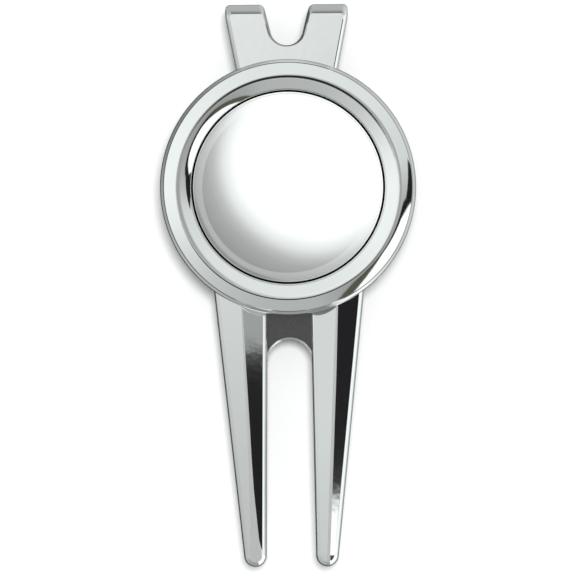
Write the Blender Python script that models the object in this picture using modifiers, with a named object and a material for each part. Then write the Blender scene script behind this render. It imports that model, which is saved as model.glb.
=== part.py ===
"""Golf divot repair tool with a magnetic ball marker and a sprung belt clip.

The tool lies on its back, face up. +X is to its right, +Y points to the notched top and +Z comes out
of the face. The origin is on the ball marker's axis, in the flat outer face of the belt clip, which is
the plane that the tool rests on. All sizes below are in metres.
"""

import math

import bmesh
import bpy

MM = 0.001
COLLECTION = "divot_tool"

# Heights above the resting plane
CLIP_PLATE = 0.9 * MM
BACK_Z = 5.4 * MM
CREST_Z = 10.4 * MM
WELL_FLOOR_Z = 8.5 * MM
POCKET_FLOOR_Z = 6.8 * MM
FORK_FACE_Z = 8.3 * MM
FORK_FACE_FALL = 0.045
FORK_FACE_FROM_Y = 15.0 * MM

# Head ring, as radii from the marker's axis
HEAD_R = 16.8 * MM
LIP_R = 16.66 * MM
STEP_R = 16.33 * MM
BAND_OUTER_R = 16.27 * MM
CREST_R = 14.7 * MM
BAND_INNER_R = 12.85 * MM
WELL_R = 12.72 * MM
POCKET_R = 5.1 * MM
OUTER_DROP = 0.413 * MM
INNER_DROP = 0.47 * MM
STEP_Z = CREST_Z - 0.56 * MM
LIP_Z = CREST_Z - 0.93 * MM
WALL_TOP_Z = CREST_Z - 1.12 * MM
WELL_RIM_Z = CREST_Z - 0.6 * MM
HEAD_STEPS = 120
BAND_STEPS = 5

# Notched top, which flares away from the head
FORK_TOP_Y = 24.03 * MM
FORK_HALF = 8.05 * MM
FORK_FLARE_DEG = 11.2
FORK_SHOULDER_Y = 22.9 * MM
FORK_SHOULDER_R = 6.0 * MM
FORK_ROOT_Y = 13.3 * MM
NOTCH_R = 2.15 * MM
NOTCH_Y = 20.8 * MM
NOTCH_FLARE_DEG = 14.0
MOUTH_CORNER_R = 0.85 * MM
MOUTH_CORNER_FALL = 0.45 * MM
TOP_CORNER_R = 0.65 * MM
TOP_CORNER_FALL = 0.3 * MM
TOP_BEVEL = 1.25 * MM
SIDE_BEVEL = 0.62 * MM
NOTCH_BEVEL = 0.5 * MM
NOTCH_LIFT_SHARE = 0.6
TOP_BEVEL_DEEP = 0.85 * MM
SIDE_BEVEL_DEEP = 0.6 * MM
DEEPENS_OVER = 1.1 * MM
BEVEL_BOW = 0.3
BEVEL_STEPS = 3

# Tines
TINE_ROOT_Y = -13.3 * MM
TIP_Y = -49.92 * MM
TINE_OUTER_X = 9.88 * MM
TINE_OUTER_FROM_Y = -13.5 * MM
TINE_OUTER_TAPER = 0.1043
TINE_INNER_X = 2.92 * MM
TINE_INNER_FROM_Y = -22.7 * MM
TINE_INNER_TAPER = 0.0126
TINE_EDGE = 0.62 * MM
TINE_EDGE_SLOPE = 0.82
RIDGE_ROOT_Z = 9.1 * MM
RIDGE_FALL = 1.5 * MM
ROOF_SLOPE = 0.65
TINE_SECTIONS = 14
TIP_SECTIONS = 9

# Web between the tines, with the arch cut into its lower edge
WEB_HALF = 3.4 * MM
WEB_TOP_Y = -14.5 * MM
WEB_TOP_Z = 6.72 * MM
WEB_EDGE_Z = 6.09 * MM
ARCH_R = 2.9 * MM
ARCH_Y = -22.93 * MM

# Hinge of the belt clip
HINGE_Y = 12.5 * MM
HINGE_Z = 3.3 * MM
PIN_R = 1.0 * MM
PIN_HOLE_R = 1.05 * MM
PIN_HEAD_R = 1.5 * MM
PIN_HEAD = 0.6 * MM
LUG_R = 1.8 * MM
LUG_INNER_X = 2.4 * MM
LUG_WIDE = 1.8 * MM
EAR_R = 1.75 * MM
EAR_INNER_X = 4.6 * MM

# Belt clip
CLIP_HALF = EAR_INNER_X + CLIP_PLATE
CLIP_TIP_HALF = 3.6 * MM
CLIP_TAPER_FROM_Y = -2.0 * MM
CLIP_TAB_Y = 18.2 * MM
CLIP_TAB_LIFT_DEG = 12.0
CLIP_TAB_RUN = 1.6 * MM
CLIP_FLAT_END_Y = -11.5 * MM
CLIP_RISE_DEG = 50.0
CLIP_RISE_R = 3.0 * MM
CLIP_NOSE_R = 1.3 * MM
CLIP_LEAD = 0.5 * MM
CLIP_NOSE_GAP = 0.06 * MM

# Torsion spring round the pin
WIRE_R = 0.3 * MM
COIL_R = 1.55 * MM
COIL_PITCH = 0.72 * MM
COIL_TURNS = 3.5
COIL_STEPS = 20
LEG_END_Y = HINGE_Y + 4.2 * MM
LEG_GAP = 0.08 * MM

# Magnet in the floor of the well
MAGNET_R = 5.0 * MM
MAGNET_TALL = 1.5 * MM
GLUE_TALL = 0.08 * MM
GLUE_R = 4.8 * MM
SMALL_GAP = 0.02 * MM

# Ball marker: stamped cup, printed disc and clear dome
CUP_R = 12.5 * MM
CUP_BORE_R = 12.34 * MM
CUP_TALL = 1.2 * MM
CUP_FLOOR = 0.5 * MM
CUP_ROUND = 0.08 * MM
PRINT_R = 12.3 * MM
PRINT_TALL = 0.1 * MM
STICKY_TALL = 0.05 * MM
DOME_R = 12.3 * MM
DOME_EDGE = 0.45 * MM
DOME_RISE = 0.5 * MM


def clear_scene():
    """Remove what the file already holds, so that the model starts from nothing."""
    for item in list(bpy.data.objects):
        bpy.data.objects.remove(item, do_unlink=True)


def collection(name):
    """The collection of that name, made and linked to the scene when it is new."""
    found = bpy.data.collections.get(name)
    if found is None:
        found = bpy.data.collections.new(name)
        bpy.context.scene.collection.children.link(found)
    return found


def material(name, color, metallic, roughness, alpha=1.0):
    """A Principled material."""
    made = bpy.data.materials.new(name)
    made.use_nodes = True
    shader = made.node_tree.nodes["Principled BSDF"]
    shader.inputs["Base Color"].default_value = (*color, 1.0)
    shader.inputs["Metallic"].default_value = metallic
    shader.inputs["Roughness"].default_value = roughness
    shader.inputs["Alpha"].default_value = alpha
    return made


def place(item, name, looks=None):
    """Name an object, put it in the model's collection and give it its material."""
    item.name = name
    item.data.name = name
    for old in list(item.users_collection):
        old.objects.unlink(item)
    collection(COLLECTION).objects.link(item)
    if looks is not None:
        item.data.materials.clear()
        item.data.materials.append(looks)
    return item


def as_cutter(item, name):
    """Put an object in the cutters' collection, out of every render."""
    item.name = name
    for old in list(item.users_collection):
        old.objects.unlink(item)
    collection("cutters").objects.link(item)
    item.hide_render = True
    item.display_type = "WIRE"
    return item


def new_object(mesh):
    """An object that holds a mesh, linked to the scene."""
    item = bpy.data.objects.new(mesh.name, mesh)
    bpy.context.scene.collection.objects.link(item)
    return item


def evaluated_mesh(item):
    """The mesh of an object with its modifiers applied, in world space, with doubles welded."""
    bpy.context.view_layer.update()
    graph = bpy.context.evaluated_depsgraph_get()
    mesh = bpy.data.meshes.new_from_object(item.evaluated_get(graph))
    mesh.transform(item.matrix_world)
    work = bmesh.new()
    work.from_mesh(mesh)
    bmesh.ops.remove_doubles(work, verts=work.verts, dist=0.0000005)
    bmesh.ops.recalc_face_normals(work, faces=work.faces)
    work.to_mesh(mesh)
    work.free()
    return mesh


def baked(item):
    """Replace an object by a plain mesh object of the same world shape."""
    mesh = evaluated_mesh(item)
    name = item.name
    bpy.data.objects.remove(item, do_unlink=True)
    made = new_object(mesh)
    made.name = name
    return made


def boolean(item, other, operation):
    """Join or cut an object with another, which is removed afterwards."""
    step = item.modifiers.new(operation.lower(), "BOOLEAN")
    step.operation = operation
    step.object = other
    step.solver = "EXACT"
    made = baked(item)
    bpy.data.objects.remove(other, do_unlink=True)
    return made


def turned(name, profile, steps):
    """A solid turned about Z from a profile of (radius, height) that runs from its top to its bottom."""
    mesh = bpy.data.meshes.new(name)
    points = [(radius, 0.0, height) for radius, height in profile]
    edges = [(i, i + 1) for i in range(len(points) - 1)]
    mesh.from_pydata(points, edges, [])
    item = new_object(mesh)
    turn = item.modifiers.new("turn", "SCREW")
    turn.axis = "Z"
    turn.steps = steps
    turn.render_steps = steps
    turn.use_merge_vertices = True
    turn.merge_threshold = 0.000001
    return baked(item)


def disc(name, radius, low, tall, steps, edge=0.0):
    """A round plate with an optional small chamfer on both rims."""
    profile = [(0.0, low + tall)]
    profile.append((radius - edge, low + tall))
    if edge > 0.0:
        profile.append((radius, low + tall - edge))
        profile.append((radius, low + edge))
    profile.append((radius - edge, low))
    profile.append((0.0, low))
    return turned(name, profile, steps)


def arc(centre, radius, start_deg, end_deg, steps):
    """Points along an arc in a plane, with both ends."""
    points = []
    for i in range(steps + 1):
        angle = math.radians(start_deg + (end_deg - start_deg) * i / steps)
        points.append((centre[0] + radius * math.cos(angle), centre[1] + radius * math.sin(angle)))
    return points


def rounded(corner, before, after, radius, steps):
    """Points of a round corner between the directions to two neighbouring points."""
    to_before = (before[0] - corner[0], before[1] - corner[1])
    to_after = (after[0] - corner[0], after[1] - corner[1])
    unit_before = [value / math.hypot(*to_before) for value in to_before]
    unit_after = [value / math.hypot(*to_after) for value in to_after]
    half = math.acos(unit_before[0] * unit_after[0] + unit_before[1] * unit_after[1]) / 2.0
    reach = radius / math.tan(half)
    middle = [unit_before[i] + unit_after[i] for i in range(2)]
    away = radius / math.sin(half) / math.hypot(*middle)
    centre = (corner[0] + middle[0] * away, corner[1] + middle[1] * away)
    first = (corner[0] + unit_before[0] * reach, corner[1] + unit_before[1] * reach)
    last = (corner[0] + unit_after[0] * reach, corner[1] + unit_after[1] * reach)
    start = math.atan2(first[1] - centre[1], first[0] - centre[0])
    end = math.atan2(last[1] - centre[1], last[0] - centre[0])
    sweep = (end - start + math.pi) % (2.0 * math.pi) - math.pi
    return arc(centre, radius, math.degrees(start), math.degrees(start + sweep), steps)


def flat_outline(name, points, half_thickness):
    """A flat closed outline in its own XY plane, filled and extruded both ways, as a curve object."""
    curve = bpy.data.curves.new(name, "CURVE")
    curve.dimensions = "2D"
    curve.fill_mode = "BOTH"
    curve.extrude = half_thickness
    spline = curve.splines.new("POLY")
    spline.points.add(len(points) - 1)
    for point, place_at in zip(spline.points, points):
        point.co = (*place_at, 0.0, 1.0)
    spline.use_cyclic_u = True
    item = bpy.data.objects.new(name, curve)
    bpy.context.scene.collection.objects.link(item)
    return item


def plate_in_z(name, points, low, high):
    """An outline in X and Y that fills the heights from low to high."""
    item = flat_outline(name, points, (high - low) / 2.0)
    item.location.z = (high + low) / 2.0
    return baked(item)


def plate_in_x(name, points, low, high):
    """An outline in Y and Z that fills the widths from low to high."""
    item = flat_outline(name, points, (high - low) / 2.0)
    item.rotation_euler = (math.radians(90.0), 0.0, math.radians(90.0))
    item.location.x = (high + low) / 2.0
    return baked(item)


def rod_in_x(name, radius, low, high, at_y, at_z, steps):
    """A plain cylinder along X."""
    bpy.ops.mesh.primitive_cylinder_add(vertices=steps, radius=radius, depth=high - low)
    item = bpy.context.active_object
    item.name = name
    item.rotation_euler = (0.0, math.radians(90.0), 0.0)
    item.location = ((low + high) / 2.0, at_y, at_z)
    return baked(item)


def block(name, low, high):
    """A box between two corners."""
    bpy.ops.mesh.primitive_cube_add(size=1.0)
    item = bpy.context.active_object
    item.name = name
    item.scale = [high[i] - low[i] for i in range(3)]
    item.location = [(high[i] + low[i]) / 2.0 for i in range(3)]
    return baked(item)


def smooth(item, degrees):
    """Shade an object smooth, with sharp edges where its faces turn by more than an angle."""
    item.data.shade_smooth()
    item.data.set_sharp_from_angle(angle=math.radians(degrees))


def head_profile():
    """The head from the pocket's floor, over the crest of its ring and down its wall."""
    profile = [(0.0, POCKET_FLOOR_Z), (POCKET_R, POCKET_FLOOR_Z)]
    profile.append((POCKET_R, WELL_FLOOR_Z))
    profile.append((WELL_R, WELL_FLOOR_Z))
    profile.append((WELL_R, WELL_RIM_Z))
    for i in range(BAND_STEPS + 1):
        share = 1.0 - i / BAND_STEPS
        profile.append((CREST_R + share * (BAND_INNER_R - CREST_R), CREST_Z - INNER_DROP * share ** 2))
    for i in range(1, BAND_STEPS + 1):
        share = i / BAND_STEPS
        drop = OUTER_DROP * share ** 1.5
        profile.append((CREST_R + share * (BAND_OUTER_R - CREST_R), CREST_Z - drop))
    profile.append((STEP_R, STEP_Z))
    profile.append((LIP_R, LIP_Z))
    profile.append((HEAD_R, WALL_TOP_Z))
    profile.append((HEAD_R, BACK_Z - 0.5 * MM))
    profile.append((0.0, BACK_Z - 0.5 * MM))
    return profile


def fork_outline(share):
    """The notched top's outline: share 0 is its outer edge and share 1 the edge of its flat face."""
    side_in = SIDE_BEVEL * share
    notch_r = NOTCH_R + NOTCH_BEVEL * share
    notch_y = NOTCH_Y + NOTCH_LIFT_SHARE * NOTCH_BEVEL * share
    top_y = FORK_TOP_Y - TOP_BEVEL * share
    centre = (FORK_HALF - FORK_SHOULDER_R, FORK_SHOULDER_Y)
    shoulder = []
    for x, y in arc(centre, FORK_SHOULDER_R, -FORK_FLARE_DEG, 0.0, 3):
        shoulder.append((x - side_in, min(y, top_y - TOP_CORNER_R)))
    low = shoulder[0]
    taper = math.tan(math.radians(FORK_FLARE_DEG))
    root = (low[0] - taper * (low[1] - FORK_ROOT_Y), FORK_ROOT_Y)
    corner = (FORK_HALF - side_in, top_y)
    flare = math.radians(NOTCH_FLARE_DEG)
    waist = (notch_r * math.cos(flare), notch_y - notch_r * math.sin(flare))
    mouth = (waist[0] + math.tan(flare) * (top_y - waist[1]), top_y)
    right = [root] + shoulder[:-1]
    right += rounded(corner, shoulder[-1], mouth, TOP_CORNER_R - TOP_CORNER_FALL * share, 4)
    right += rounded(mouth, corner, waist, MOUTH_CORNER_R - MOUTH_CORNER_FALL * share, 4)
    notch = arc((0.0, notch_y), notch_r, -NOTCH_FLARE_DEG, NOTCH_FLARE_DEG - 180.0, 18)
    left = [(-x, y) for x, y in reversed(right)]
    return right + notch + left


def loft(name, sections):
    """A closed solid through sections that have the same number of points each."""
    work = bmesh.new()
    rings = [[work.verts.new(point) for point in section] for section in sections]
    count = len(rings[0])
    for near, far in zip(rings, rings[1:]):
        for i in range(count):
            j = (i + 1) % count
            work.faces.new((near[i], near[j], far[j], far[i]))
    work.faces.new(rings[0])
    work.faces.new(rings[-1])
    bmesh.ops.recalc_face_normals(work, faces=work.faces)
    mesh = bpy.data.meshes.new(name)
    work.to_mesh(mesh)
    work.free()
    return new_object(mesh)


def fork():
    """The notched top: a flared plate whose bevel is wide and deep on its ears, narrow elsewhere."""
    outer = fork_outline(0.0)
    sections = [[(x, y, BACK_Z - 0.4 * MM) for x, y in outer]]
    for i in range(BEVEL_STEPS + 1):
        share = i / BEVEL_STEPS
        part = 1.0 - (1.0 + BEVEL_BOW) * share + BEVEL_BOW * share ** 2
        section = []
        for (x, y), (_, edge_y) in zip(fork_outline(share), outer):
            at_top = max(0.0, 1.0 - (FORK_TOP_Y - edge_y) / DEEPENS_OVER)
            deep = SIDE_BEVEL_DEEP + (TOP_BEVEL_DEEP - SIDE_BEVEL_DEEP) * at_top
            face_z = FORK_FACE_Z - FORK_FACE_FALL * (y - FORK_FACE_FROM_Y)
            section.append((x, y, face_z - deep * part))
        sections.append(section)
    return loft("fork", sections)


def tine_edges(at_y):
    """The inner and outer X of the right tine, before its tip is rounded."""
    inner = TINE_INNER_X + TINE_INNER_TAPER * (TINE_INNER_FROM_Y - at_y)
    outer = TINE_OUTER_X - TINE_OUTER_TAPER * (TINE_OUTER_FROM_Y - at_y)
    return inner, outer


def tip_round():
    """The centre and radius of the arc that closes the right tine's tip."""
    inner, outer = tine_edges(TIP_Y + 1.42 * MM)
    radius = (outer - inner) / 2.0
    return (inner + outer) / 2.0, TIP_Y + radius, radius


def tine_section(at_y, inner, outer):
    """One cross-section of the right tine: a roof over two upright sides, with narrow chamfers."""
    along = (TINE_ROOT_Y - at_y) / (TINE_ROOT_Y - TIP_Y)
    ridge_z = RIDGE_ROOT_Z - RIDGE_FALL * along ** 2
    ridge_x = (inner + outer) / 2.0
    half = (outer - inner) / 2.0
    chamfer = min(TINE_EDGE, 0.4 * half)
    eave_z = ridge_z - ROOF_SLOPE * (half - chamfer)
    low = BACK_Z - 0.3 * MM
    side_z = eave_z - TINE_EDGE_SLOPE * chamfer
    points = [(inner, low), (outer, low), (outer, side_z), (outer - chamfer, eave_z)]
    points += [(ridge_x, ridge_z), (inner + chamfer, eave_z), (inner, side_z)]
    return [(x, at_y, z) for x, z in points]


def tine(name):
    """The right tine, as a loft between its cross-sections."""
    centre_x, centre_y, radius = tip_round()
    sections = []
    for i in range(TINE_SECTIONS + 1):
        at_y = TINE_ROOT_Y + (centre_y - TINE_ROOT_Y) * i / TINE_SECTIONS
        inner, outer = tine_edges(at_y)
        sections.append(tine_section(at_y, inner, outer))
    for i in range(1, TIP_SECTIONS + 1):
        angle = math.radians(84.0 * i / TIP_SECTIONS)
        half = radius * math.cos(angle)
        at_y = centre_y - radius * math.sin(angle)
        sections.append(tine_section(at_y, centre_x - half, centre_x + half))
    return loft(name, sections)


def mirrored(item, name):
    """The same solid on the other side of the YZ plane."""
    mesh = item.data.copy()
    work = bmesh.new()
    work.from_mesh(mesh)
    bmesh.ops.scale(work, vec=(-1.0, 1.0, 1.0), verts=work.verts)
    bmesh.ops.reverse_faces(work, faces=work.faces)
    work.to_mesh(mesh)
    work.free()
    made = new_object(mesh)
    made.name = name
    return made


def web():
    """The sloping web that joins the tines, with the arch cut into its lower edge."""
    low = BACK_Z - 0.2 * MM
    side = [(WEB_TOP_Y, low), (WEB_TOP_Y, WEB_TOP_Z), (ARCH_Y, WEB_EDGE_Z), (ARCH_Y, low)]
    item = plate_in_x("web", side, -WEB_HALF, WEB_HALF)
    bpy.ops.mesh.primitive_cylinder_add(vertices=64, radius=ARCH_R, depth=12.0 * MM)
    arch = bpy.context.active_object
    arch.location = (0.0, ARCH_Y, BACK_Z)
    return boolean(item, as_cutter(baked(arch), "arch_cutter"), "DIFFERENCE")


def lug(name, low_x):
    """One hinge lug, cast on the back of the head."""
    root_z = BACK_Z + 0.7 * MM
    points = [(HINGE_Y + LUG_R + 0.8 * MM, root_z)]
    points += arc((HINGE_Y, HINGE_Z), LUG_R, 10.0, -190.0, 22)
    points.append((HINGE_Y - LUG_R - 0.8 * MM, root_z))
    return plate_in_x(name, points, low_x, low_x + LUG_WIDE)


def tool_body(looks):
    """The plated casting: head ring with its well, notched top, tines, web and hinge lugs."""
    body = turned("tool_body", head_profile(), HEAD_STEPS)
    body = boolean(body, fork(), "UNION")
    right_tine = tine("right_tine")
    left_tine = mirrored(right_tine, "left_tine")
    body = boolean(body, right_tine, "UNION")
    body = boolean(body, left_tine, "UNION")
    body = boolean(body, web(), "UNION")
    reach = 60.0 * MM
    slab = block("back_cutter", (-reach, -reach, 0.0), (reach, reach, BACK_Z))
    body = boolean(body, as_cutter(slab, "back_cutter"), "DIFFERENCE")
    body = boolean(body, lug("right_lug", LUG_INNER_X), "UNION")
    body = boolean(body, lug("left_lug", -LUG_INNER_X - LUG_WIDE), "UNION")
    hole = rod_in_x("pin_cutter", PIN_HOLE_R, -6.0 * MM, 6.0 * MM, HINGE_Y, HINGE_Z, 40)
    body = boolean(body, as_cutter(hole, "pin_cutter"), "DIFFERENCE")
    smooth(body, 25.0)
    return place(body, "tool_body", looks)


def magnet(looks):
    """The disc magnet in the floor of the well."""
    low = POCKET_FLOOR_Z + GLUE_TALL + 2.0 * SMALL_GAP
    item = disc("magnet", MAGNET_R, low, MAGNET_TALL, 48, edge=0.2 * MM)
    smooth(item, 30.0)
    return place(item, "magnet", looks)


def magnet_glue(looks):
    """The film of glue under the magnet."""
    item = disc("magnet_glue", GLUE_R, POCKET_FLOOR_Z + SMALL_GAP, GLUE_TALL, 48)
    return place(item, "magnet_glue", looks)


def marker_levels():
    """The heights where the cup, the sticky film, the print and the dome start."""
    cup = WELL_FLOOR_Z + SMALL_GAP
    sticky = cup + CUP_FLOOR + SMALL_GAP
    printed = sticky + STICKY_TALL + SMALL_GAP
    dome = printed + PRINT_TALL + SMALL_GAP
    return cup, sticky, printed, dome


def marker_cup(looks):
    """The stamped steel cup of the ball marker."""
    low = marker_levels()[0]
    high = low + CUP_TALL
    profile = [(0.0, low + CUP_FLOOR), (CUP_BORE_R, low + CUP_FLOOR), (CUP_BORE_R, high)]
    profile += arc((CUP_R - CUP_ROUND, high - CUP_ROUND), CUP_ROUND, 90.0, 0.0, 4)
    profile += arc((CUP_R - CUP_ROUND, low + CUP_ROUND), CUP_ROUND, 0.0, -90.0, 4)
    profile.append((0.0, low))
    item = turned("marker_cup", profile, 96)
    smooth(item, 30.0)
    return place(item, "marker_cup", looks)


def marker_sticky_film(looks):
    """The film of adhesive that holds the printed disc."""
    item = disc("marker_sticky_film", PRINT_R, marker_levels()[1], STICKY_TALL, 96)
    return place(item, "marker_sticky_film", looks)


def marker_print(looks):
    """The printed disc."""
    item = disc("marker_print", PRINT_R, marker_levels()[2], PRINT_TALL, 96)
    return place(item, "marker_print", looks)


def marker_dome(looks):
    """The clear resin dome over the print."""
    low = marker_levels()[3]
    edge_top = low + DOME_EDGE
    sphere_r = (DOME_R ** 2 + DOME_RISE ** 2) / (2.0 * DOME_RISE)
    profile = []
    steps = 8
    for i in range(steps + 1):
        radius = DOME_R * i / steps
        height = edge_top + DOME_RISE - sphere_r + math.sqrt(sphere_r ** 2 - radius ** 2)
        profile.append((radius, height))
    profile.append((DOME_R, low))
    profile.append((0.0, low))
    item = turned("marker_dome", profile, 96)
    smooth(item, 30.0)
    return place(item, "marker_dome", looks)


def clip_path():
    """The clip's middle line in Y and Z, from its tab round to the lead-in past its nose.

    The heading is the angle above -Y. Each bend turns it by an angle at a radius.
    """
    tab_turn = math.radians(CLIP_TAB_LIFT_DEG)
    rise = math.radians(CLIP_RISE_DEG)
    middle_z = CLIP_PLATE / 2.0
    nose_z = BACK_Z - CLIP_NOSE_GAP - CLIP_PLATE / 2.0
    both_bends = (CLIP_RISE_R + CLIP_NOSE_R) * (1.0 - math.cos(rise))
    climb = (nose_z - middle_z - both_bends) / math.sin(rise)
    tab_bend_r = CLIP_RISE_R
    tab_z = middle_z + CLIP_TAB_RUN * math.sin(tab_turn) + tab_bend_r * (1.0 - math.cos(tab_turn))
    moves = [(CLIP_TAB_RUN, 0.0, 1), (tab_bend_r, tab_turn, 3)]
    flat_start = CLIP_TAB_Y - CLIP_TAB_RUN * math.cos(tab_turn) - tab_bend_r * math.sin(tab_turn)
    moves.append((flat_start - CLIP_FLAT_END_Y, 0.0, 8))
    moves.append((CLIP_RISE_R, rise, 8))
    moves.append((climb, 0.0, 2))
    moves.append((CLIP_NOSE_R, -2.0 * rise, 12))
    moves.append((CLIP_LEAD, 0.0, 1))
    points = [(CLIP_TAB_Y, tab_z)]
    heading = -tab_turn
    for size, turn, steps in moves:
        for _ in range(steps):
            bend = turn / steps
            length = size / steps if turn == 0.0 else 2.0 * size * math.sin(abs(bend) / 2.0)
            heading += bend / 2.0
            y, z = points[-1]
            points.append((y - length * math.cos(heading), z + length * math.sin(heading)))
            heading += bend / 2.0
    return points


def clip_half(at_y):
    """Half the clip's width, which narrows towards its nose."""
    path_end = CLIP_FLAT_END_Y - 7.0 * MM
    share = (CLIP_TAPER_FROM_Y - at_y) / (CLIP_TAPER_FROM_Y - path_end)
    share = min(max(share, 0.0), 1.0)
    return CLIP_HALF + (CLIP_TIP_HALF - CLIP_HALF) * share


def clip_strap():
    """The bent strap: an open strip along the clip's middle line, thickened to the plate."""
    mesh = bpy.data.meshes.new("clip_strap")
    verts = []
    faces = []
    for y, z in clip_path():
        half = clip_half(y)
        verts += [(-half, y, z), (half, y, z)]
    for i in range(0, len(verts) - 2, 2):
        faces.append((i, i + 1, i + 3, i + 2))
    mesh.from_pydata(verts, [], faces)
    item = new_object(mesh)
    thicken = item.modifiers.new("plate", "SOLIDIFY")
    thicken.thickness = CLIP_PLATE
    thicken.offset = 0.0
    thicken.use_even_offset = True
    return baked(item)


def ear(name, low_x):
    """One side ear of the clip, bent up from the plate to hold the pin."""
    foot_z = CLIP_PLATE / 2.0
    points = [(HINGE_Y + 2.6 * MM, foot_z)]
    points += arc((HINGE_Y, HINGE_Z), EAR_R, -10.0, 160.0, 20)
    points.append((HINGE_Y - 4.6 * MM, CLIP_PLATE + 0.5 * MM))
    points.append((HINGE_Y - 5.6 * MM, foot_z))
    inset = 0.05 * MM
    return plate_in_x(name, points, low_x + inset, low_x + CLIP_PLATE - inset)


def clip_lever(looks):
    """The belt clip: a bent steel strap with two ears, cut for the hinge pin."""
    clip = clip_strap()
    clip = boolean(clip, ear("right_ear", EAR_INNER_X), "UNION")
    clip = boolean(clip, ear("left_ear", -EAR_INNER_X - CLIP_PLATE), "UNION")
    hole = rod_in_x("ear_cutter", PIN_HOLE_R, -8.0 * MM, 8.0 * MM, HINGE_Y, HINGE_Z, 40)
    clip = boolean(clip, as_cutter(hole, "ear_cutter"), "DIFFERENCE")
    smooth(clip, 25.0)
    hinge = bpy.data.objects.new("clip_hinge_axis", None)
    hinge.location = (0.0, HINGE_Y, HINGE_Z)
    collection(COLLECTION).objects.link(hinge)
    clip = place(clip, "clip_lever", looks)
    clip.data.transform(hinge.matrix_basis.inverted())
    clip.parent = hinge
    return clip


def hinge_pin(looks):
    """The headed pin through the lugs and the ears, turned along X."""
    shank_half = CLIP_HALF + 0.1 * MM
    end = shank_half + PIN_HEAD
    profile = [(0.0, end), (PIN_HEAD_R - 0.2 * MM, end), (PIN_HEAD_R, end - 0.2 * MM)]
    profile += [(PIN_HEAD_R, shank_half), (PIN_R, shank_half), (PIN_R, -shank_half)]
    profile += [(PIN_HEAD_R, -shank_half), (PIN_HEAD_R, 0.2 * MM - end), (PIN_HEAD_R - 0.2 * MM, -end)]
    profile.append((0.0, -end))
    item = turned("clip_hinge_pin", profile, 40)
    item.rotation_euler = (0.0, math.radians(90.0), 0.0)
    item.location = (0.0, HINGE_Y, HINGE_Z)
    item = baked(item)
    smooth(item, 30.0)
    return place(item, "clip_hinge_pin", looks)


def spring_points():
    """The torsion spring's wire, from its leg on the casting round the pin to its leg on the clip."""
    upper_z = BACK_Z - LEG_GAP - WIRE_R
    lower_z = CLIP_PLATE + LEG_GAP + WIRE_R
    steps = int(COIL_TURNS * COIL_STEPS)
    wide = COIL_PITCH * COIL_TURNS
    points = [(-wide / 2.0, LEG_END_Y, upper_z)]
    for i in range(steps + 1):
        angle = math.radians(90.0) + 2.0 * math.pi * COIL_TURNS * i / steps
        x = wide * (i / steps - 0.5)
        points.append((x, HINGE_Y + COIL_R * math.cos(angle), HINGE_Z + COIL_R * math.sin(angle)))
    points.append((wide / 2.0, LEG_END_Y, lower_z))
    return points


def torsion_spring(looks):
    """The wire spring that closes the clip."""
    curve = bpy.data.curves.new("clip_torsion_spring", "CURVE")
    curve.dimensions = "3D"
    curve.bevel_depth = WIRE_R
    curve.bevel_resolution = 2
    curve.use_fill_caps = True
    points = spring_points()
    spline = curve.splines.new("POLY")
    spline.points.add(len(points) - 1)
    for point, place_at in zip(spline.points, points):
        point.co = (*place_at, 1.0)
    item = bpy.data.objects.new("clip_torsion_spring", curve)
    bpy.context.scene.collection.objects.link(item)
    item = baked(item)
    smooth(item, 40.0)
    return place(item, "clip_torsion_spring", looks)


def main():
    """Build every piece."""
    clear_scene()
    plating = material("chrome_plating", (0.80, 0.82, 0.81), 1.0, 0.08)
    clip_steel = material("clip_steel", (0.72, 0.73, 0.73), 1.0, 0.22)
    pin_steel = material("pin_steel", (0.66, 0.67, 0.68), 1.0, 0.25)
    spring_steel = material("spring_steel", (0.42, 0.42, 0.43), 1.0, 0.32)
    nickel = material("magnet_nickel", (0.70, 0.68, 0.64), 1.0, 0.2)
    cup_steel = material("cup_steel", (0.76, 0.77, 0.77), 1.0, 0.18)
    glue = material("magnet_glue", (0.62, 0.55, 0.36), 0.0, 0.4)
    sticky = material("sticky_film", (0.85, 0.85, 0.80), 0.0, 0.5)
    paper = material("white_print", (0.93, 0.94, 0.94), 0.0, 0.4)
    resin = material("clear_resin", (0.95, 0.97, 0.97), 0.0, 0.05, alpha=0.35)
    tool_body(plating)
    magnet(nickel)
    magnet_glue(glue)
    marker_cup(cup_steel)
    marker_sticky_film(sticky)
    marker_print(paper)
    marker_dome(resin)
    clip_lever(clip_steel)
    hinge_pin(pin_steel)
    torsion_spring(spring_steel)


main()
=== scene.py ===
"""Looks of the golf divot repair tool: fine meshes, procedural materials, floor, studio and camera.

Everything is in the CAD's frame: the tool lies face up, +Y points to its notched top and the origin
is on the ball marker's axis, in the plane that the tool rests on. Blender works in metres, so lengths
are written as millimetres times MM.
"""

import math

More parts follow.
